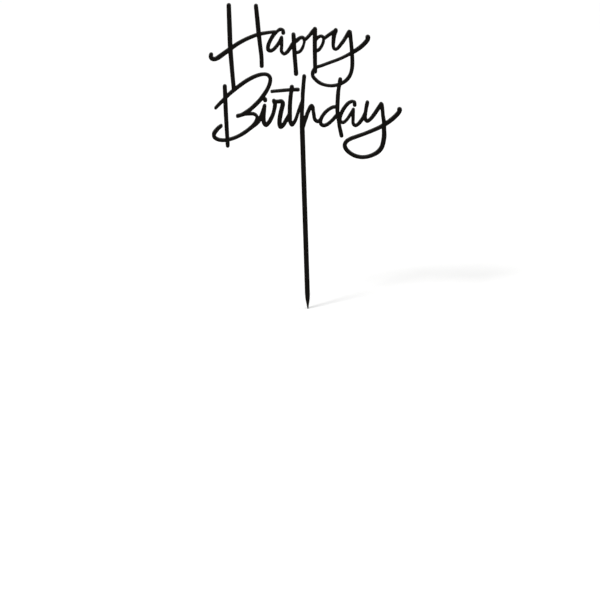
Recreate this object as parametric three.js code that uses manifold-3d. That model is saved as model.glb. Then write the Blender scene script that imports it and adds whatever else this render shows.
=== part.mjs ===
// Cake topper: a two-line birthday greeting in joined handwriting, cut from black sheet, and
// carried by a pointed stick that is bonded behind it.
// Millimetres, +Z up. The origin is on the stick's centre line, at the surface that the stick
// is pushed into. The lettering faces -Y, and X runs along the lines of writing.
import * as THREE from 'three';
import { mergeVertices } from 'three/addons/utils/BufferGeometryUtils.js';
import Module from 'manifold-3d';

const wasm = await Module();
wasm.setup();

// Lettering. Its path is as wide as this, from the pen's leftmost to its rightmost place.
const PATH_WIDTH = 109.4;
const SHEET_THICKNESS = 3;
// Width of an ordinary downstroke
const DOWNSTROKE_WIDTH = 2.8;
// The lower line of writing, above the origin
const WRITING_LINE_HEIGHT = 60.8;

// Stick
const STICK_WIDTH = 3;
const STICK_THICKNESS = 3;
const DEPTH_IN_CAKE = 50;
const TIP_LENGTH = 9;
const TIP_FLAT_WIDTH = 0.6;
// How far the stick runs up behind the lettering from the line of writing, and the width that
// it narrows to there, so that it stays hidden
const LAP_LENGTH = 11;
const LAP_END_WIDTH = 1.7;

// Adhesive between the stick's front and the lettering's back
const ADHESIVE_THICKNESS = 0.25;
// Bare strip that the adhesive leaves round the lap's edge
const ADHESIVE_MARGIN = 0.3;

// Fineness of the round shapes: the most that a stroke turns, and that its edges stray from a
// straight line, between two places
const MAX_TURN = THREE.MathUtils.degToRad(11);
const MAX_STRAY = 0.02;
const FLATNESS = 0.004;
const STEPS_PER_STATION = 16;
const END_SIDES = 12;

// The strokes are drawn as a pen would write them. Each is a list of stations that a smooth
// line passes through: [x from the foot of the h, z above the line of writing, line width].
// Widths are for a downstroke as wide as this.
const DRAWN_DOWNSTROKE_WIDTH = 2.8;

const UPPER_LINE = {
  capitalLeft: [[-40.5, 74.8, 2.7], [-40.5, 62, 2.9], [-40.5, 50, 2.8], [-40, 38, 2.6], [-39.3, 25.2, 2.5]],
  capitalRight: [[-24.7, 74, 2.5], [-24.2, 67, 2.7], [-23.8, 60, 2.7], [-23.1, 51, 2.5],
    [-22.5, 44, 2.5], [-22.5, 38.4, 2.5]],
  capitalBar: [[-51.8, 45.8, 2.5], [-52.1, 44.7, 2.4], [-51.2, 43.5, 2.4], [-49.8, 43.2, 2.2],
    [-48, 43.9, 2.5], [-44, 46.6, 2.5], [-40, 49.4, 2.3], [-36, 52, 2.1], [-32, 54.1, 2],
    [-28, 55.8, 1.9], [-24, 57.1, 1.8], [-20, 57.8, 1.7], [-16.5, 58.2, 1.5], [-13.8, 58.3, 1.5]],
  aBowl: [[-9.3, 57.8, 2.4], [-9.3, 58.8, 1.9], [-10.2, 59.6, 1.6], [-11.4, 59.6, 1.7],
    [-13.2, 58.2, 1.6], [-15, 56.5, 2.1], [-17.2, 53, 2.1], [-18.4, 49.9, 2.3], [-18.4, 48, 2.3],
    [-17.1, 47.1, 1.8], [-15.4, 47.8, 1.8], [-13.8, 49.4, 1.9], [-12.1, 51.6, 1.9], [-10.5, 54.5, 2]],
  aStemAndFirstBowl: [[-10.4, 54.7, 2], [-10.4, 52, 2.1], [-10.5, 49.5, 2], [-10.7, 46.9, 2],
    [-9.4, 45, 1.5], [-7.7, 45.8, 1.9], [-6, 47.8, 2], [-3.8, 51.1, 2.1], [-1.3, 53, 2.1],
    [0.6, 54.3, 1.8], [2.1, 54.3, 1.8], [2.8, 52.8, 1.9], [2.5, 50.7, 1.5], [1.6, 48.2, 1.7],
    [0.2, 46.3, 1.6], [-1, 45.7, 1.5], [-2.7, 45.5, 1.6]],
  firstPStem: [[-3.4, 56.2, 2.5], [-3.3, 52, 2.6], [-3.1, 44, 2.6], [-2.8, 38, 2.5], [-2.6, 33.1, 2.7]],
  linkToSecondP: [[2.8, 52.8, 1.6], [4, 53.7, 1.8], [6, 55.7, 1.8], [7.6, 57.6, 2.1], [9.2, 59, 2.4]],
  secondPStem: [[9.2, 59, 2.7], [9, 54, 2.6], [8.8, 48, 2.6], [8.7, 40, 2.5], [8.6, 34, 2.4]],
  secondPBowl: [[9, 52.2, 1.7], [10.6, 54, 1.7], [12.4, 54.9, 1.5], [13.8, 54.3, 1.7], [14, 52.2, 1.8],
    [13.3, 49.9, 1.7], [12.1, 47.9, 1.7], [10.8, 46.6, 1.7], [9, 46.2, 1.8]],
  linkToY: [[14, 53.2, 1.7], [16, 54.6, 1.8], [18.3, 56.2, 1.8], [21.3, 58, 2]],
  yArm: [[21.3, 58, 2.5], [20.3, 55.5, 2.6], [19.8, 52, 2.3], [19.6, 49.3, 2.1], [19.9, 47.5, 1.8],
    [21, 46.8, 1.5], [22.3, 47.5, 1.7], [23.8, 49.3, 1.9], [25.5, 51.4, 2], [27.1, 53.9, 2.1],
    [29.1, 56.8, 2.4]],
  yTail: [[29.5, 56.5, 2.6], [29.8, 54, 2.4], [30.1, 50, 2.3], [30.4, 45, 2.4], [30.5, 41, 2.4],
    [30.4, 37.1, 2.4], [29.9, 33.8, 2.2], [28.8, 30.8, 2.1], [27.1, 28.5, 2], [24.5, 26.6, 1.7],
    [21, 25.3, 1.6], [17.5, 25, 1.5], [14, 25.6, 1.5], [10.8, 27.1, 1.8], [8.5, 29.2, 1.9],
    [7.1, 31.3, 2], [7.2, 33.2, 2.3], [8.1, 35.4, 1.6], [9.6, 36.4, 1.6], [12, 37.1, 1.5], [16, 38.5, 1.5],
    [20, 39.8, 1.5], [24, 41.3, 1.5], [28, 43.2, 1.6], [32, 45.3, 2.1], [36, 48, 2.3], [38.6, 50.5, 2.4],
    [39.8, 52.1, 2.5], [39.9, 53.2, 3]],
};

const LOWER_LINE = {
  capitalStem: [[-44.5, 26.5, 2.5], [-44.4, 10, 2.6], [-44, -9, 2.3]],
  capitalUpperLobe: [[-50.3, 13.9, 1.7], [-48.1, 16.1, 1.9], [-45, 19.1, 1.9], [-42, 22, 2], [-39, 24.4, 2],
    [-36, 26.7, 2.1], [-32, 29.4, 2.1], [-28, 31.5, 2], [-24, 32.9, 1.9], [-21.4, 33.2, 1.7],
    [-19.2, 32.7, 1.8], [-17.8, 30.8, 2.2], [-18, 28.2, 2.3], [-19.2, 25, 2.2], [-20.9, 22.1, 2.3],
    [-22.6, 19.8, 2.3], [-24.6, 17.3, 2.3], [-27.2, 14.8, 2.2], [-29.8, 12.5, 2.2], [-33, 10.2, 2.4],
    [-35.5, 9.1, 1.9], [-37.6, 8.6, 2]],
  capitalLowerLobe: [[-33.5, 9.7, 1.9], [-30, 9.7, 1.7], [-27.8, 9.4, 1.7], [-26.5, 8.2, 1.7],
    [-26.3, 6.9, 2], [-27, 4.7, 2.2], [-28.5, 2.6, 2.3], [-30.9, 0.6, 2], [-34.1, -1.7, 2],
    [-38, -3.8, 1.8], [-42, -5.2, 1.8], [-46, -5.8, 1.8], [-49.6, -5.2, 1.9], [-51.6, -3.7, 2.1],
    [-51.8, -1.8, 2.5], [-50.8, -0.2, 2.4], [-49.2, 1.6, 2.2], [-47.5, 2.9, 2]],
  linkToI: [[-28.2, 2.7, 2.3], [-25.4, 5.1, 2.2], [-23.9, 8, 2.2], [-22.5, 11.6, 2.1], [-21.6, 14.1, 2.2]],
  iDot: [[-22.7, 19.6, 2.2], [-21.1, 17.7, 2.4]],
  iStem: [[-21.6, 14.1, 2.2], [-22.1, 10, 2.3], [-22.5, 6, 2.6], [-22.1, 3.7, 2.4], [-21.1, 2.6, 2.1],
    [-19.6, 3.9, 2.2], [-18.1, 6.3, 2.3], [-16.9, 8.8, 2.2], [-15.9, 12.4, 2.3], [-15.5, 15.2, 2.5],
    [-16.1, 16.9, 2.3]],
  rShoulder: [[-15.8, 16.5, 1.9], [-13.5, 16.5, 1.9], [-11.7, 16.5, 2.2], [-10.9, 15.3, 2.6],
    [-11.3, 13.3, 2.6], [-12.2, 10, 2.7], [-13, 6, 2.7], [-13.2, 3.4, 2.7], [-12.6, 1.5, 2.7],
    [-11.1, 2.2, 2.2], [-9.7, 4.4, 2.3], [-8.1, 7, 2.2], [-6.9, 9.4, 2.2]],
  tStem: [[-5.3, 24.8, 2.6], [-5.8, 22, 2.4], [-6.5, 17, 2.5], [-6.9, 12, 2.6], [-7, 7, 2.6],
    [-6.9, 4.2, 2.3], [-6, 2.5, 2.3], [-4.7, 3.6, 2], [-3.4, 6, 1.9], [-2.2, 9.5, 1.8], [-0.9, 13.1, 1.7],
    [0.4, 16.5, 1.7]],
  tBar: [[-17.2, 22.7, 1.5], [-12, 23, 1.6], [-7, 23.3, 1.6], [-1.6, 23.3, 1.8]],
  hStem: [[2.1, 31, 2.4], [1.7, 28, 2.3], [0.9, 20, 2.4], [0.6, 14, 2.2], [0.1, 9, 2.4], [0, 4, 2.8],
    [0, 0.8, 3]],
  hArch: [[0.4, 0.8, 2.4], [1.6, 4.1, 2.1], [2.4, 6.2, 2.2], [3, 8.1, 2.2], [4.1, 10.5, 2.2], [5, 12.4, 2.2],
    [5.9, 13.2, 2.1], [6.6, 12.2, 2.2], [6.8, 10, 2.1], [7.1, 7.5, 2.2], [7.6, 5, 2], [9.2, 3.8, 1.8],
    [10.6, 4.6, 1.8], [11.7, 6.2, 1.9]],
  dBowl: [[20.9, 12.3, 1.6], [18.5, 12.1, 1.7], [16, 10.9, 1.7], [13.6, 8.9, 1.9], [11.7, 6.3, 2],
    [10.8, 4, 2.3], [11.2, 2, 2], [12.7, 1.2, 1.8], [14.5, 1.7, 1.8], [16.5, 3.1, 1.8], [18.7, 5.2, 1.9],
    [21.2, 8, 2]],
  dStem: [[23.1, 28.5, 2.4], [22.7, 26.2, 2.3], [22.2, 24, 2.2], [21.7, 21, 2.4], [21.4, 18, 2.5],
    [21.1, 14, 2.5], [20.9, 9.5, 2.4], [21.3, 5, 2.1], [21.9, 0, 2.3], [22.9, -5.1, 2.3]],
  aBowl: [[31.1, 13.2, 2.3], [31.1, 14.4, 2], [30.2, 15.1, 1.5], [29.2, 15.1, 1.6], [27.2, 14, 1.9],
    [25.5, 12.1, 2], [24, 9.9, 2.1], [22.8, 7.1, 2], [22.4, 4.6, 1.8], [22.8, 3.1, 1.7], [24.1, 2.7, 1.6],
    [26, 4, 1.6], [28, 6.7, 1.7], [30.2, 10.2, 1.7]],
  aStem: [[30.3, 10.2, 1.9], [30.1, 7, 2], [29.9, 4, 2], [30, 1.7, 1.9], [31.2, 0.6, 1.6],
    [32.8, 1.4, 1.8], [34.3, 3, 2], [35.9, 5.3, 2], [37, 7.6, 2]],
  yArm: [[38.6, 14.2, 2.2], [37.9, 11.5, 2.2], [37.3, 8, 2.1], [37, 5.5, 2.2], [37.4, 3.8, 2.1],
    [38.3, 3, 1.7], [40, 4.1, 1.9], [42, 6.4, 2.1], [44.1, 9.4, 2.2], [46.6, 12.9, 2.4]],
  yTail: [[46.8, 12.6, 2.6], [47.3, 10, 2.3], [47.5, 6, 2.3], [48, 2, 2.5], [47.9, -2, 2.7],
    [47.9, -6, 2.8], [47.2, -10.1, 2.7], [46.3, -12.9, 2.6], [44.5, -15.3, 2.4], [41.8, -17.1, 2.1],
    [38.5, -18.3, 1.9], [35, -18.7, 1.9], [31, -17.9, 2], [28.1, -16.3, 2.1], [25.7, -14, 2.3],
    [24.6, -11.5, 2.5], [25, -9.9, 2.3], [26, -8.6, 2.1], [28, -7.4, 2], [32, -6, 1.9], [36, -4.7, 1.8],
    [40, -3.2, 1.9], [44, -1.6, 2], [47, -0.1, 2.1], [50, 1.7, 2.3], [53, 3.9, 2.4], [55.8, 6.5, 2.4],
    [57.1, 8.2, 2.5], [57.3, 9.2, 3]],
};

const strokes = [...Object.values(UPPER_LINE), ...Object.values(LOWER_LINE)];
const drawnPlaces = strokes.flat().map(([x]) => x);
const drawnPathWidth = Math.max(...drawnPlaces) - Math.min(...drawnPlaces);
const drawingScale = PATH_WIDTH / drawnPathWidth;
const widthScale = DOWNSTROKE_WIDTH / DRAWN_DOWNSTROKE_WIDTH;

const lapTop = WRITING_LINE_HEIGHT + LAP_LENGTH;

const blackPlastic = new THREE.MeshStandardMaterial({ color: '#121110', roughness: 0.35, metalness: 0 });
const clearAdhesive = new THREE.MeshStandardMaterial({ color: '#d9d6cc', roughness: 0.3, metalness: 0 });

function besideLine({ middle, across, halfWidth }, side) {
  return middle.clone().addScaledVector(across, side * halfWidth);
}

function distanceFromChord(point, from, to) {
  const chord = to.clone().sub(from);
  return Math.abs(chord.cross(point.clone().sub(from))) / chord.length();
}

function straysFromChord(sample, from, to) {
  return [1, -1].some((side) => (
    distanceFromChord(besideLine(sample, side), besideLine(from, side), besideLine(to, side)) > MAX_STRAY
  ));
}

// Places along a stroke: the line's middle, its half width and the directions along and
// across it
function evenSamples(stations) {
  const places = stations.map(([x, z, width]) => (
    new THREE.Vector3(x * drawingScale, z * drawingScale, width * widthScale)
  ));
  const line = new THREE.CatmullRomCurve3(places, false, 'centripetal');
  const steps = Math.round((stations.length - 1) * STEPS_PER_STATION);
  const samples = [];
  for (let step = 0; step <= steps; step += 1) {
    const place = line.getPoint(step / steps);
    const slope = line.getTangent(step / steps);
    const along = new THREE.Vector2(slope.x, slope.y).normalize();
    samples.push({
      middle: new THREE.Vector2(place.x, place.y),
      halfWidth: place.z / 2,
      along,
      across: new THREE.Vector2(-along.y, along.x),
    });
  }
  return samples;
}

// The same places with only those kept that the stroke's shape needs
function samplesAlong(stations) {
  const samples = evenSamples(stations);
  const kept = [samples[0]];
  let skipped = [];
  samples.slice(1).forEach((sample) => {
    const last = kept.at(-1);
    const bends = sample.along.angleTo(last.along) > MAX_TURN;
    const strays = skipped.some((between) => straysFromChord(between, last, sample));
    if (bends || strays || sample === samples.at(-1)) {
      kept.push(sample);
      skipped = [];
    } else {
      skipped.push(sample);
    }
  });
  return kept;
}

// Half circle that rounds off an end of the line, from its left side to its right
function roundEnd(sample, direction) {
  const points = [];
  for (let side = 0; side <= END_SIDES; side += 1) {
    const angle = (Math.PI * side) / END_SIDES;
    points.push(sample.middle.clone()
      .addScaledVector(sample.across, Math.cos(angle) * sample.halfWidth)
      .addScaledVector(sample.along, Math.sin(angle) * sample.halfWidth * direction));
  }
  return points;
}

// Smallest convex outline round some points, anticlockwise
function convexOutline(points) {
  const sorted = [...points].sort((a, b) => a.x - b.x || a.y - b.y);
  const halfOutline = (ordered) => {
    const chain = [];
    for (const point of ordered) {
      while (chain.length > 1) {
        const [before, last] = chain.slice(-2);
        const turn = last.clone().sub(before).cross(point.clone().sub(last));
        if (turn > 0) break;
        chain.pop();
      }
      chain.push(point);
    }
    return chain.slice(0, -1);
  };
  return [...halfOutline(sorted), ...halfOutline(sorted.reverse())];
}

function extruded(shape, thickness) {
  return new THREE.ExtrudeGeometry(shape, { depth: thickness, bevelEnabled: false });
}

function toSolid(geometry) {
  const bare = geometry.clone();
  bare.deleteAttribute('normal');
  bare.deleteAttribute('uv');
  const merged = mergeVertices(bare);
  return new wasm.Manifold(new wasm.Mesh({
    numProp: 3,
    vertProperties: new Float32Array(merged.attributes.position.array),
    triVerts: new Uint32Array(merged.index.array),
  }));
}

// A stroke is a chain of short convex pieces, so that it stays sound where the line turns
// more tightly than its own width.
function strokeSolids(stations) {
  const samples = samplesAlong(stations);
  const outlines = [roundEnd(samples[0], -1), roundEnd(samples.at(-1), 1)];
  for (let index = 1; index < samples.length; index += 1) {
    const [from, to] = [samples[index - 1], samples[index]];
    outlines.push([besideLine(from, 1), besideLine(from, -1), besideLine(to, 1), besideLine(to, -1)]);
  }
  return outlines.map((points) => toSolid(extruded(new THREE.Shape(convexOutline(points)), SHEET_THICKNESS)));
}

// Closed outlines of a plate's top face, each with the material on its left
function topOutlines(plate) {
  const { vertProperties, triVerts } = plate.getMesh();
  const place = (index) => new THREE.Vector3().fromArray(vertProperties, 3 * index);
  const isOnTop = (index) => place(index).z > SHEET_THICKNESS / 2;
  const edges = new Map();
  for (let first = 0; first < triVerts.length; first += 3) {
    const corners = [...triVerts.slice(first, first + 3)];
    if (!corners.every(isOnTop)) continue;
    corners.forEach((from, corner) => {
      const to = corners[(corner + 1) % 3];
      if (!edges.delete(`${to},${from}`)) {
        edges.set(`${from},${to}`, [from, to]);
      }
    });
  }
  const following = new Map(edges.values());
  const outlines = [];
  while (following.size > 0) {
    const outline = [];
    let [[corner]] = following;
    while (following.has(corner)) {
      outline.push(new THREE.Vector2(place(corner).x, place(corner).y));
      const next = following.get(corner);
      following.delete(corner);
      corner = next;
    }
    outlines.push(outline);
  }
  return outlines;
}

// Leaves out points that hardly bend the outline
function thinned(outline) {
  const kept = [];
  outline.forEach((point, index) => {
    const before = kept.at(-1) ?? outline.at(-1);
    const after = outline[(index + 1) % outline.length];
    if (distanceFromChord(point, before, after) > FLATNESS) {
      kept.push(point);
    }
  });
  return kept;
}

// The strokes' joined outline, with the openings that they enclose
function letteringShape() {
  const joined = strokes.flatMap(strokeSolids).reduce((whole, piece) => whole.add(piece));
  const outlines = topOutlines(joined).map(thinned);
  const shape = new THREE.Shape(outlines.find((outline) => THREE.ShapeUtils.area(outline) > 0));
  shape.holes = outlines
    .filter((outline) => THREE.ShapeUtils.area(outline) < 0)
    .map((outline) => new THREE.Path(outline));
  return shape;
}

// Long flat strip, pointed below. Above the line of writing it narrows to a round end.
function stickShape() {
  const half = STICK_WIDTH / 2;
  const endRadius = LAP_END_WIDTH / 2;
  const shoulder = -DEPTH_IN_CAKE + TIP_LENGTH;
  const shape = new THREE.Shape();
  shape.moveTo(-TIP_FLAT_WIDTH / 2, -DEPTH_IN_CAKE);
  shape.lineTo(TIP_FLAT_WIDTH / 2, -DEPTH_IN_CAKE);
  shape.lineTo(half, shoulder);
  shape.lineTo(half, WRITING_LINE_HEIGHT);
  shape.absarc(0, lapTop - endRadius, endRadius, 0, Math.PI, false);
  shape.lineTo(-half, WRITING_LINE_HEIGHT);
  shape.lineTo(-half, shoulder);
  return shape;
}

// Strip with round ends that stays inside the stick's narrowing end
function adhesiveShape() {
  const lowerRadius = STICK_WIDTH / 2 - ADHESIVE_MARGIN;
  const upperRadius = LAP_END_WIDTH / 2 - ADHESIVE_MARGIN;
  const shape = new THREE.Shape();
  shape.absarc(0, WRITING_LINE_HEIGHT + lowerRadius, lowerRadius, Math.PI, 2 * Math.PI, false);
  shape.absarc(0, lapTop - ADHESIVE_MARGIN - upperRadius, upperRadius, 0, Math.PI, false);
  return shape;
}

// A plate drawn in X and height, stood upright with its front at the given depth. Extruding
// goes along the drawing's third axis, which becomes -Y, so the back is where it starts.
function uprightPlate(name, shape, thickness, frontY, material) {
  const plate = new THREE.Mesh(extruded(shape, thickness), material);
  plate.name = name;
  plate.rotation.x = Math.PI / 2;
  plate.position.y = frontY + thickness;
  return plate;
}

const stickFront = -STICK_THICKNESS / 2;
const adhesiveFront = stickFront - ADHESIVE_THICKNESS;
const letteringFront = adhesiveFront - SHEET_THICKNESS;

const lettering = uprightPlate(
  'greeting_lettering',
  letteringShape(),
  SHEET_THICKNESS,
  letteringFront,
  blackPlastic,
);
lettering.position.z = WRITING_LINE_HEIGHT;
const adhesive = uprightPlate('adhesive', adhesiveShape(), ADHESIVE_THICKNESS, adhesiveFront, clearAdhesive);
const stick = uprightPlate('stick', stickShape(), STICK_THICKNESS, stickFront, blackPlastic);

const topper = new THREE.Group();
topper.add(lettering, adhesive, stick);

export default topper;
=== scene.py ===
"""A black birthday topper in a plain pale studio, in metres, seen as in the photograph.

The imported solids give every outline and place. The flat plates are made again here with
smooth outlines, rounded corners and softened edges.
"""

import math

import bmesh
import bpy
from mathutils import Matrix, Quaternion, Vector, geometry, noise

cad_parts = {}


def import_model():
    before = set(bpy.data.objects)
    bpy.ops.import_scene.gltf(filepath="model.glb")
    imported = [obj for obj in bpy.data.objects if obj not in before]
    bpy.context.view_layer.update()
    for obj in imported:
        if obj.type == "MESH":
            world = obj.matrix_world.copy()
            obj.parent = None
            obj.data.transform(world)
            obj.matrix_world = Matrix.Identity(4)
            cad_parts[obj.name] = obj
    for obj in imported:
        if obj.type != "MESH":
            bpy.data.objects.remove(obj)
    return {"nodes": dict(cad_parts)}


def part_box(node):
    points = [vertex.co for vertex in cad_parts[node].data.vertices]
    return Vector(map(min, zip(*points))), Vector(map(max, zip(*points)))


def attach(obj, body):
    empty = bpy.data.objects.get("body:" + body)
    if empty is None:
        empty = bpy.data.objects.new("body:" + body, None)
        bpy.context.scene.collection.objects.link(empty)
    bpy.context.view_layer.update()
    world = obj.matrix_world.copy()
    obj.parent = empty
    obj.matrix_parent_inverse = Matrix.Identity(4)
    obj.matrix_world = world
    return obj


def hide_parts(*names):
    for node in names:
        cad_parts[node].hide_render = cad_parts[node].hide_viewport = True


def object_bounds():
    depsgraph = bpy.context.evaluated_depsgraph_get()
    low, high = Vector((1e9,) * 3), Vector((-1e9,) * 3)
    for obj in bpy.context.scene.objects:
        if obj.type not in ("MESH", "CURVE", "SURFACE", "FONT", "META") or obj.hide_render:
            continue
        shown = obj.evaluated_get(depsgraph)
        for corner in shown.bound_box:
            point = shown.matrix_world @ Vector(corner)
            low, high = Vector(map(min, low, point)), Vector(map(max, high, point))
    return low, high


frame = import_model()
cad_low, cad_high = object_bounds()

MM = 0.001

# Camera. The photograph is this many pixels wide and high
FRAME_PX = 600
# The lowest place of the stick that it shows, from its upper left corner
ENTRY_PX = (305.35, 227.4)
# Focal length of the lens in the same pixels
FOCAL_PX = 5086
CAMERA_DISTANCE = 3.0
CAMERA_ELEVATION = math.radians(15.2)
# The topper leans this much to the left in the picture
CAMERA_ROLL = math.radians(1.8)
SENSOR_WIDTH_MM = 36

# Outlines. Places on a plate's front lie this close to it
FACE_TOLERANCE = 0.01 * MM
# Places are told apart down to this measure
WELD = 0.001 * MM
SHORTEST_EDGE = 0.06 * MM
# An edge longer than this, and this many times as long as its neighbour, stays straight
STRAIGHT_LENGTH = 3 * MM
STRAIGHT_RATIO = 2.5
# Turns beyond these are corners, and gentler ones are bends
CONCAVE_CORNER = math.radians(-22)
CONVEX_CORNER = math.radians(70)
# Smooth lines and rounded corners turn by about this much at each place
SMOOTH_TURN = math.radians(3.5)
FILLET_TURN = math.radians(12)
# Corners are rounded by this much, as a cutting beam leaves them
FILLET_RADIUS = 0.17 * MM
# A rounded corner takes no more than this of the lines that it joins, nor than this share
LONGEST_FILLET = 0.9 * MM
FILLET_SHARE = 0.4
# A loop in which a smoothed line crosses itself has fewer places than this
LONGEST_LOOP = 80

# Softened edges
EDGE_RADIUS = 0.15 * MM
EDGE_STEPS = 3
# At a sharp corner an inset reaches at most this many times as far as elsewhere
LONGEST_REACH = 2
# An inset that folds over is made this much smaller until it lies flat
INSET_SHRINK = 0.7

# Adhesive. It spreads past its solid by the margin, give or take the squeeze
ADHESIVE_MARGIN = 0.3 * MM
ADHESIVE_SQUEEZE = 0.1 * MM
ADHESIVE_WAVE_LENGTH = 1.4 * MM
# Its edge is rounded by this share of its thickness from each side
ADHESIVE_ROUNDING = 0.45

# Colours
BLACK = (0.0024, 0.0017, 0.0011, 1)
WORN_BLACK = (0.0042, 0.0032, 0.0024, 1)
GLUE_COLOUR = (0.86, 0.84, 0.79, 1)
FLOOR_COLOUR = (0.9, 0.9, 0.895, 1)
WHITE = (1, 1, 1, 1)

# Finish
FACE_GLOSS = 0.05
EDGE_GLOSS = 0.06
FLOOR_GLOSS = 0.2
FLOOR_ROUGHNESS = 0.85
GLUE_CLEARNESS = 0.9
GLUE_IOR = 1.46

# Patterns: waves per metre in each direction, and how much finer detail they hold
CLOUDS = ((70, 70, 70), 4.0)
GRAIN = ((1400, 1400, 1400), 3.0)
HAIRLINES = ((9000, 400, 260), 2.0)
CUT_LINES = ((5200, 160, 5200), 2.0)
MELT = ((600, 900, 600), 2.0)
BUBBLES = ((4500, 4500, 4500), 2.0)

# What patterns do: two levels of the pattern, and the values at these
CLOUD_ROUGHNESS = (0.3, 0.7, 0.2, 0.3)
CLOUD_WEAR = (0.35, 0.75, 0, 1)
MELT_ROUGHNESS = (0.3, 0.7, 0.45, 0.6)
CUT_LINE_WEAR = (0.4, 0.8, 0, 1)
BUBBLE_ROUGHNESS = (0.4, 0.7, 0.08, 0.3)

# Hairlines: their direction in the plate, and the level of the pattern where one begins
HAIRLINE_SETS = ((math.radians(35), 0.7), (math.radians(-58), 0.72))
# Over this much of the pattern a hairline reaches its full depth
HAIRLINE_FADE = 0.05
# A hairline is this much rougher than the face round it
HAIRLINE_DULLING = 0.2

# Bumps: their height, and their strength from 0 to 1
GRAIN_BUMP = (0.004 * MM, 0.5)
CUT_LINE_BUMP = (0.02 * MM, 0.5)
BUBBLE_BUMP = (0.02 * MM, 0.6)

# Sockets of a node that mixes two colours
MIX_SHARE = 0
MIX_COLOURS = (6, 7)
MIX_RESULT = 2

# Studio
FLOOR_SIZE = 30
# Near the topper this share of the floor's look is plain white, and the rest is lit
FLOOR_GLOW = 0.4
# Past the shadow the floor turns as white as the backdrop between these distances
FLOOR_FADE = (0.5, 1.5)
# The backdrop looks white, and it lights the object at this level
WORLD_LEVEL = 0.5
SUN_STRENGTH = 1.75
SUN_ANGLE = math.radians(14)
# Lamps stand this far from the middle of the object
SUN_OFFSET = (-1.1, -0.9, 1.7)
# Name, width and height, energy, and place
SOFTBOXES = (
    ("softbox_left", (0.25, 1.2), 7, (-1.7, -0.5, 0.5)),
    ("softbox_right", (0.25, 1.2), 7, (1.7, 0.3, 0.6)),
    ("softbox_top", (1.2, 0.4), 9, (0.1, -0.2, 1.9)),
)


def planar_cross(first, second):
    return first.x * second.y - first.y * second.x


def turn_between(first, second):
    """Signed angle from one direction to another, positive to the left."""
    return math.atan2(planar_cross(first, second), first.dot(second))


def rotated(direction, angle):
    cosine = math.cos(angle)
    sine = math.sin(angle)
    return Vector((
        direction.x * cosine - direction.y * sine,
        direction.x * sine + direction.y * cosine,
    ))


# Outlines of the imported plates, as places in X and Z


def front_outlines(node):
    """Closed outlines of a plate's front face, with the material on their left."""
    mesh = frame["nodes"][node].data
    mesh.calc_loop_triangles()
    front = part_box(node)[0].y + FACE_TOLERANCE
    places = {}
    edges = {}
    for triangle in mesh.loop_triangles:
        corners = [mesh.vertices[index].co for index in triangle.vertices]
        if any(corner.y > front for corner in corners):
            continue
        keys = [(round(corner.x / WELD), round(corner.z / WELD)) for corner in corners]
        for key, corner in zip(keys, corners):
            places[key] = Vector((corner.x, corner.z))
        # An edge that two triangles share lies inside the face
        for start, end in zip(keys, keys[1:] + keys[:1]):
            if not edges.pop((end, start), False):
                edges[(start, end)] = True
    following = dict(edges.keys())
    outlines = []
    while following:
        key = next(iter(following))
        outline = []
        while key in following:
            outline.append(places[key])
            key = following.pop(key)
        outlines.append(outline)
    return outlines


def turn_at(outline, index):
    before = outline[index - 1]
    here = outline[index]
    after = outline[(index + 1) % len(outline)]
    return turn_between(here - before, after - here)


def without_short_edges(outline):
    """Drops the gentler end of each very short edge."""
    kept = list(outline)
    index = 0
    while index < len(kept):
        following = (index + 1) % len(kept)
        if (kept[following] - kept[index]).length < SHORTEST_EDGE:
            gentler = min(index, following, key=lambda end: abs(turn_at(kept, end)))
            del kept[gentler]
            index = max(0, index - 2)
        else:
            index += 1
    return kept


def is_corner(outline, index):
    turn = turn_at(outline, index)
    return turn < CONCAVE_CORNER or turn > CONVEX_CORNER


def heading(before, here, after):
    """Direction of a smooth line that passes through three places, at the middle one."""
    arriving = here - before
    leaving = after - here
    lengths = (arriving.length, leaving.length)
    if max(lengths) > STRAIGHT_LENGTH and max(lengths) > STRAIGHT_RATIO * min(lengths):
        longer = arriving if lengths[0] > lengths[1] else leaving
        return longer.normalized()
    return (arriving.normalized() * lengths[1] + leaving.normalized() * lengths[0]).normalized()


def run_headings(run, closed):
    """Direction of the smooth line at each of the run's places."""
    count = len(run)
    headings = []
    for index, here in enumerate(run):
        if index == 0 and not closed:
            headings.append((run[1] - here).normalized())
        elif index == count - 1 and not closed:
            headings.append((here - run[-2]).normalized())
        else:
            headings.append(heading(run[index - 1], here, run[(index + 1) % count]))
    # An open run's ends follow the bend of their own stretch
    if not closed and count > 2:
        for end, inner in ((0, 1), (-1, -2)):
            chord = headings[end]
            swing = turn_between(headings[inner], chord)
            if (run[inner] - run[end]).length < STRAIGHT_LENGTH:
                headings[end] = rotated(chord, swing)
    return headings


def smooth_run(run, closed):
    """The run's places with more between them, on a line that bends evenly."""
    count = len(run)
    headings = run_headings(run, closed)
    places = []
    for index in range(count if closed else count - 1):
        following = (index + 1) % count
        start = run[index]
        end = run[following]
        leave = headings[index]
        arrive = headings[following]
        chord = end - start
        length = chord.length
        bend = abs(turn_between(leave, chord)) + abs(turn_between(chord, arrive))
        steps = max(1, math.ceil(bend / SMOOTH_TURN))
        for step in range(steps):
            t = step / steps
            places.append(
                start * (2 * t**3 - 3 * t**2 + 1)
                + leave * length * (t**3 - 2 * t**2 + t)
                + end * (3 * t**2 - 2 * t**3)
                + arrive * length * (t**3 - t**2)
            )
    if not closed:
        places.append(run[-1])
    return places


def run_length(run):
    return sum((after - before).length for before, after in zip(run, run[1:]))


def cut_back(run, distance):
    """The run without its first stretch, which is as long as the distance."""
    left = distance
    for index, (before, after) in enumerate(zip(run, run[1:])):
        length = (after - before).length
        if length > left:
            place = before.lerp(after, left / length)
            return [place] + run[index + 1:]
        left -= length
    return run[-1:]


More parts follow.
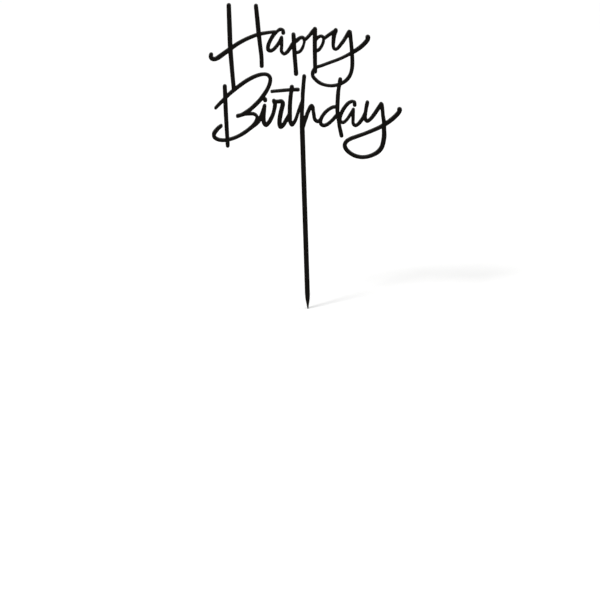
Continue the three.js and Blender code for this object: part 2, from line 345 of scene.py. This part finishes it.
def fillet(arriving, corner, leaving, turn):
    """Places on a round corner, between the ends of two runs that were cut back from it."""
    # With its handles this share of the way to the corner, a cubic curve follows an arc
    share = 4 / 3 * math.tan(abs(turn) / 4) / math.tan(abs(turn) / 2)
    first = arriving.lerp(corner, share)
    second = leaving.lerp(corner, share)
    steps = max(2, math.ceil(abs(turn) / FILLET_TURN))
    places = []
    for step in range(1, steps):
        t = step / steps
        s = 1 - t
        places.append(
            arriving * s**3 + first * (3 * s**2 * t) + second * (3 * s * t**2) + leaving * t**3
        )
    return places


def without_loops(outline):
    """Cuts out the small loops in which the line crosses itself."""
    kept = list(outline)
    index = 0
    while index < len(kept) - LONGEST_LOOP:
        for loop_end in range(index + 2, index + LONGEST_LOOP):
            crossing = geometry.intersect_line_line_2d(
                kept[index], kept[index + 1], kept[loop_end], kept[loop_end + 1],
            )
            if crossing:
                kept[index + 1:loop_end + 1] = [crossing]
                break
        index += 1
    return kept


def refined(outline):
    """A smooth outline with its corners rounded."""
    outline = without_short_edges(outline)
    count = len(outline)
    corners = [index for index in range(count) if is_corner(outline, index)]
    if not corners:
        return smooth_run(outline, True)
    turns = [turn_at(outline, index) for index in corners]
    runs = []
    for start, end in zip(corners, corners[1:] + [corners[0] + count]):
        run = [outline[index % count] for index in range(start, end + 1)]
        runs.append(smooth_run(run, False))
    reaches = []
    for number, turn in enumerate(turns):
        shorter = min(run_length(runs[number - 1]), run_length(runs[number]))
        wanted = FILLET_RADIUS * math.tan(abs(turn) / 2)
        reaches.append(min(wanted, LONGEST_FILLET, shorter * FILLET_SHARE))
    trimmed = []
    for number, run in enumerate(runs):
        ahead = cut_back(run, reaches[number])
        back = cut_back(ahead[::-1], reaches[(number + 1) % len(runs)])
        trimmed.append(back[::-1])
    places = []
    for number, run in enumerate(trimmed):
        corner = outline[corners[number]]
        places += fillet(trimmed[number - 1][-1], corner, run[0], turns[number])
        places += run
    return without_loops(places)


# Meshes


def outward_directions(outline):
    """At each place, the direction away from the material and how far to go for a unit inset."""
    directions = []
    for index, here in enumerate(outline):
        arriving = (here - outline[index - 1]).normalized()
        leaving = (outline[(index + 1) % len(outline)] - here).normalized()
        along = (arriving + leaving).normalized()
        reach = 1 / max(1 / LONGEST_REACH, along.dot(leaving))
        directions.append((Vector((along.y, -along.x)), reach))
    return directions


def inset_shares(outline, directions, radius):
    """The share of an inset that each place can have before the inset outline folds over."""
    count = len(outline)
    shares = [1.0] * count
    folded = range(count)
    while folded:
        inset = [
            place - direction * reach * radius * share
            for place, (direction, reach), share in zip(outline, directions, shares)
        ]
        folded = [
            index for index in range(count)
            if (inset[index] - inset[index - 1]).dot(outline[index] - outline[index - 1]) <= 0
        ]
        for index in folded:
            shares[index] *= INSET_SHRINK
            shares[index - 1] *= INSET_SHRINK
    return shares


def edge_profile(front, back, radius):
    """From front to back: inset, depth and how much the surface faces out and to the front."""
    profile = []
    for step in range(EDGE_STEPS + 1):
        angle = math.pi / 2 * step / EDGE_STEPS
        out = math.sin(angle)
        ahead = math.cos(angle)
        profile.append((radius * (1 - out), front + radius * (1 - ahead), out, ahead))
    for inset, depth, out, ahead in profile[::-1]:
        profile.append((inset, back - (depth - front), out, -ahead))
    return profile


def plate_mesh(name, outlines, profile, materials):
    """Closed mesh of a plate. Its faces have the first material and its edges the last."""
    bm = bmesh.new()
    normals = []
    deepest = max(inset for inset, *_ in profile)
    caps = ([], [])
    for outline in outlines:
        directions = outward_directions(outline)
        shares = inset_shares(outline, directions, deepest)
        rings = []
        for inset, depth, out, ahead in profile:
            ring = []
            for place, (direction, reach), share in zip(outline, directions, shares):
                at = place - direction * inset * reach * share
                ring.append(bm.verts.new((at.x, depth, at.y)))
                normals.append(Vector((direction.x * out, -ahead, direction.y * out)))
            rings.append(ring)
        for near, far in zip(rings, rings[1:]):
            for index in range(len(outline)):
                following = (index + 1) % len(outline)
                side = bm.faces.new((near[index], far[index], far[following], near[following]))
                side.material_index = len(materials) - 1
        for cap, ring in zip(caps, (rings[0], rings[-1])):
            cap.append(ring)
    for cap, facing in zip(caps, (-1, 1)):
        edges = []
        for ring in cap:
            for index, vertex in enumerate(ring):
                edges.append(bm.edges.get((vertex, ring[(index + 1) % len(ring)])))
        bmesh.ops.triangle_fill(bm, edges=edges, use_beauty=True, normal=(0, facing, 0))
    bmesh.ops.recalc_face_normals(bm, faces=bm.faces)
    for face in bm.faces:
        face.smooth = True
    mesh = bpy.data.meshes.new(name)
    bm.to_mesh(mesh)
    bm.free()
    mesh.normals_split_custom_set_from_vertices(normals)
    for material in materials:
        mesh.materials.append(material)
    return mesh


def add_piece(name, mesh, nodes):
    piece = bpy.data.objects.new(name, mesh)
    bpy.context.scene.collection.objects.link(piece)
    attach(piece, "root")
    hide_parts(*nodes)


def black_plate(name, node, materials):
    low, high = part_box(node)
    outlines = [refined(outline) for outline in front_outlines(node)]
    profile = edge_profile(low.y, high.y, EDGE_RADIUS)
    add_piece(name, plate_mesh(name, outlines, profile, materials), [node])


def adhesive_bead(material):
    """Set adhesive between stick and lettering, pressed out unevenly at its edge."""
    name = "adhesive_bead"
    low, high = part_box("adhesive")
    outline = refined(front_outlines("adhesive")[0])
    spread = []
    for place, (direction, _) in zip(outline, outward_directions(outline)):
        wave = noise.noise(Vector((place.x, place.y, 0)) / ADHESIVE_WAVE_LENGTH)
        spread.append(place + direction * (ADHESIVE_MARGIN + ADHESIVE_SQUEEZE * wave))
    profile = edge_profile(low.y, high.y, ADHESIVE_ROUNDING * (high.y - low.y))
    add_piece(name, plate_mesh(name, [spread], profile, [material]), ["adhesive"])


# Materials


class Surface:
    """A node material that is built round one Principled shader."""

    def __init__(self, name, **values):
        self.material = bpy.data.materials.new(name)
        self.material.use_nodes = True
        self.tree = self.material.node_tree
        self.shader = self.tree.nodes["Principled BSDF"]
        for socket, value in values.items():
            self.shader.inputs[socket.replace("_", " ")].default_value = value
        self.place = self.tree.nodes.new("ShaderNodeTexCoord").outputs["Object"]

    def node(self, kind, inputs=None, **settings):
        made = self.tree.nodes.new(kind)
        for key, value in settings.items():
            setattr(made, key, value)
        for key, value in (inputs or {}).items():
            if isinstance(value, bpy.types.NodeSocket):
                self.tree.links.new(value, made.inputs[key])
            else:
                made.inputs[key].default_value = value
        return made

    def stretched(self, scale, turn):
        """Place in the object, scaled per metre in each direction and turned in the plate."""
        turned = self.node(
            "ShaderNodeMapping",
            {"Vector": self.place, "Rotation": (0, turn, 0)},
        )
        scaled = self.node(
            "ShaderNodeVectorMath",
            {0: turned.outputs["Vector"], 1: scale},
            operation="MULTIPLY",
        )
        return scaled.outputs["Vector"]

    def pattern(self, scale, detail, turn=0.0):
        made = self.node(
            "ShaderNodeTexNoise",
            {"Vector": self.stretched(scale, turn), "Scale": 1.0, "Detail": detail},
        )
        return made.outputs["Fac"]

    def ranged(self, value, lowest, highest, at_lowest, at_highest):
        made = self.node("ShaderNodeMapRange", {
            "Value": value,
            "From Min": lowest,
            "From Max": highest,
            "To Min": at_lowest,
            "To Max": at_highest,
        })
        return made.outputs["Result"]

    def combined(self, operation, first, second):
        return self.node("ShaderNodeMath", {0: first, 1: second}, operation=operation).outputs[0]

    def scratches(self, turn, level):
        """Hairlines along one direction of the plate, from 0 to 1."""
        streaks = self.pattern(*HAIRLINES, turn)
        return self.ranged(streaks, level, level + HAIRLINE_FADE, 0.0, 1.0)

    def feed(self, socket, value):
        self.tree.links.new(value, self.shader.inputs[socket])

    def wear(self, pattern, levels):
        """Black that turns paler with the pattern."""
        share = self.ranged(pattern, *levels)
        made = self.node("ShaderNodeMix", data_type="RGBA")
        for index, colour in zip(MIX_COLOURS, (BLACK, WORN_BLACK)):
            made.inputs[index].default_value = colour
        self.tree.links.new(share, made.inputs[MIX_SHARE])
        self.feed("Base Color", made.outputs[MIX_RESULT])

    def bump(self, height, distance, strength):
        made = self.node("ShaderNodeBump", {
            "Height": height,
            "Distance": distance,
            "Strength": strength,
        })
        self.feed("Normal", made.outputs["Normal"])


def black_face():
    """Glossy black sheet: faint clouds from handling and a few hairlines."""
    surface = Surface("black_face", Specular_IOR_Level=FACE_GLOSS)
    clouds = surface.pattern(*CLOUDS)
    sets = [surface.scratches(turn, level) for turn, level in HAIRLINE_SETS]
    hairlines = surface.combined("MAXIMUM", *sets)
    smooth = surface.ranged(clouds, *CLOUD_ROUGHNESS)
    dulling = surface.combined("MULTIPLY", hairlines, HAIRLINE_DULLING)
    surface.feed("Roughness", surface.combined("ADD", smooth, dulling))
    surface.wear(clouds, CLOUD_WEAR)
    height = surface.combined("SUBTRACT", surface.pattern(*GRAIN), hairlines)
    surface.bump(height, *GRAIN_BUMP)
    return surface.material


def black_cut_edge():
    """Cut edge of the sheet: dull, with fine lines that run through its thickness."""
    surface = Surface("black_cut_edge", Specular_IOR_Level=EDGE_GLOSS)
    lines = surface.pattern(*CUT_LINES)
    melt = surface.pattern(*MELT)
    surface.feed("Roughness", surface.ranged(melt, *MELT_ROUGHNESS))
    surface.wear(lines, CUT_LINE_WEAR)
    surface.bump(lines, *CUT_LINE_BUMP)
    return surface.material


def clear_adhesive():
    """Clear set glue with small bubbles."""
    surface = Surface(
        "clear_adhesive",
        Base_Color=GLUE_COLOUR,
        Transmission_Weight=GLUE_CLEARNESS,
        IOR=GLUE_IOR,
    )
    bubbles = surface.pattern(*BUBBLES)
    surface.feed("Roughness", surface.ranged(bubbles, *BUBBLE_ROUGHNESS))
    surface.bump(bubbles, *BUBBLE_BUMP)
    return surface.material


# Studio


def seen_directly(tree):
    """1 for rays that reach the viewer as they are, or by way of a reflection or glass."""
    path = tree.nodes.new("ShaderNodeLightPath")
    total = path.outputs["Is Camera Ray"]
    for name in ("Is Glossy Ray", "Is Transmission Ray"):
        highest = tree.nodes.new("ShaderNodeMath")
        highest.operation = "MAXIMUM"
        tree.links.new(total, highest.inputs[0])
        tree.links.new(path.outputs[name], highest.inputs[1])
        total = highest.outputs[0]
    return total


def show_mix(tree, output, share, first, second):
    """Shows the first shader where the share is 0 and the second where it is 1."""
    mix = tree.nodes.new("ShaderNodeMixShader")
    for socket, source in zip(mix.inputs, (share, first, second)):
        tree.links.new(source, socket)
    tree.links.new(mix.outputs[0], tree.nodes[output].inputs["Surface"])


def floor(height):
    half = FLOOR_SIZE / 2
    corners = [
        (-half, -half, height),
        (half, -half, height),
        (half, half, height),
        (-half, half, height),
    ]
    mesh = bpy.data.meshes.new("studio_floor")
    mesh.from_pydata(corners, [], [(0, 1, 2, 3)])
    plane = bpy.data.objects.new("studio_floor", mesh)
    bpy.context.scene.collection.objects.link(plane)
    surface = Surface(
        "studio_floor",
        Base_Color=FLOOR_COLOUR,
        Roughness=FLOOR_ROUGHNESS,
        Specular_IOR_Level=FLOOR_GLOSS,
    )
    tree = surface.tree
    glow = tree.nodes.new("ShaderNodeEmission")
    distance = surface.node("ShaderNodeVectorMath", {0: surface.place}, operation="LENGTH")
    glowing = surface.ranged(distance.outputs["Value"], *FLOOR_FADE, FLOOR_GLOW, 1.0)
    share = surface.combined("MULTIPLY", seen_directly(tree), glowing)
    show_mix(tree, "Material Output", share, surface.shader.outputs[0], glow.outputs[0])
    mesh.materials.append(surface.material)


def world():
    made = bpy.data.worlds.new("studio")
    bpy.context.scene.world = made
    made.use_nodes = True
    tree = made.node_tree
    light = tree.nodes["Background"]
    white = tree.nodes.new("ShaderNodeBackground")
    for background, strength in ((light, WORLD_LEVEL), (white, 1)):
        background.inputs["Color"].default_value = WHITE
        background.inputs["Strength"].default_value = strength
    show_mix(tree, "World Output", seen_directly(tree), light.outputs[0], white.outputs[0])


def lamp(name, data, place, target):
    made = bpy.data.objects.new(name, data)
    bpy.context.scene.collection.objects.link(made)
    made.location = place
    made.rotation_mode = "QUATERNION"
    made.rotation_quaternion = (Vector(target) - Vector(place)).to_track_quat("-Z", "Y")


def lamps(middle):
    sun = bpy.data.lights.new("key", "SUN")
    sun.energy = SUN_STRENGTH
    sun.angle = SUN_ANGLE
    lamp("key", sun, middle + Vector(SUN_OFFSET), middle)
    for name, (width, height), energy, offset in SOFTBOXES:
        box = bpy.data.lights.new(name, "AREA")
        box.shape = "RECTANGLE"
        box.size = width
        box.size_y = height
        box.energy = energy
        lamp(name, box, middle + Vector(offset), middle)


def camera(entry):
    data = bpy.data.cameras.new("photo_camera")
    data.sensor_width = SENSOR_WIDTH_MM
    data.lens = FOCAL_PX / FRAME_PX * SENSOR_WIDTH_MM
    made = bpy.data.objects.new("photo_camera", data)
    bpy.context.scene.collection.objects.link(made)
    bpy.context.scene.camera = made
    back = Vector((0, -math.cos(CAMERA_ELEVATION), math.sin(CAMERA_ELEVATION)))
    aimed = (-back).to_track_quat("-Z", "Y")
    rolled = Quaternion((0, 0, 1), -CAMERA_ROLL)
    # The entry isn't at the picture's middle, so the camera looks past it
    entry_in_view = Vector((ENTRY_PX[0] - FRAME_PX / 2, FRAME_PX / 2 - ENTRY_PX[1], -FOCAL_PX))
    past = entry_in_view.rotation_difference(Vector((0, 0, -1)))
    made.location = entry + back * CAMERA_DISTANCE
    made.rotation_mode = "QUATERNION"
    made.rotation_quaternion = aimed @ rolled @ past


stick_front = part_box("stick")[0].y
camera(Vector((0, stick_front, 0)))

face = black_face()
cut_edge = black_cut_edge()
black_plate("greeting_sheet", "greeting_lettering", [face, cut_edge])
black_plate("pointed_stick", "stick", [face, cut_edge])
adhesive_bead(clear_adhesive())

world()
lamps((cad_low + cad_high) / 2)
floor(cad_low.z)
bpy.context.scene.view_settings.view_transform = "Standard"
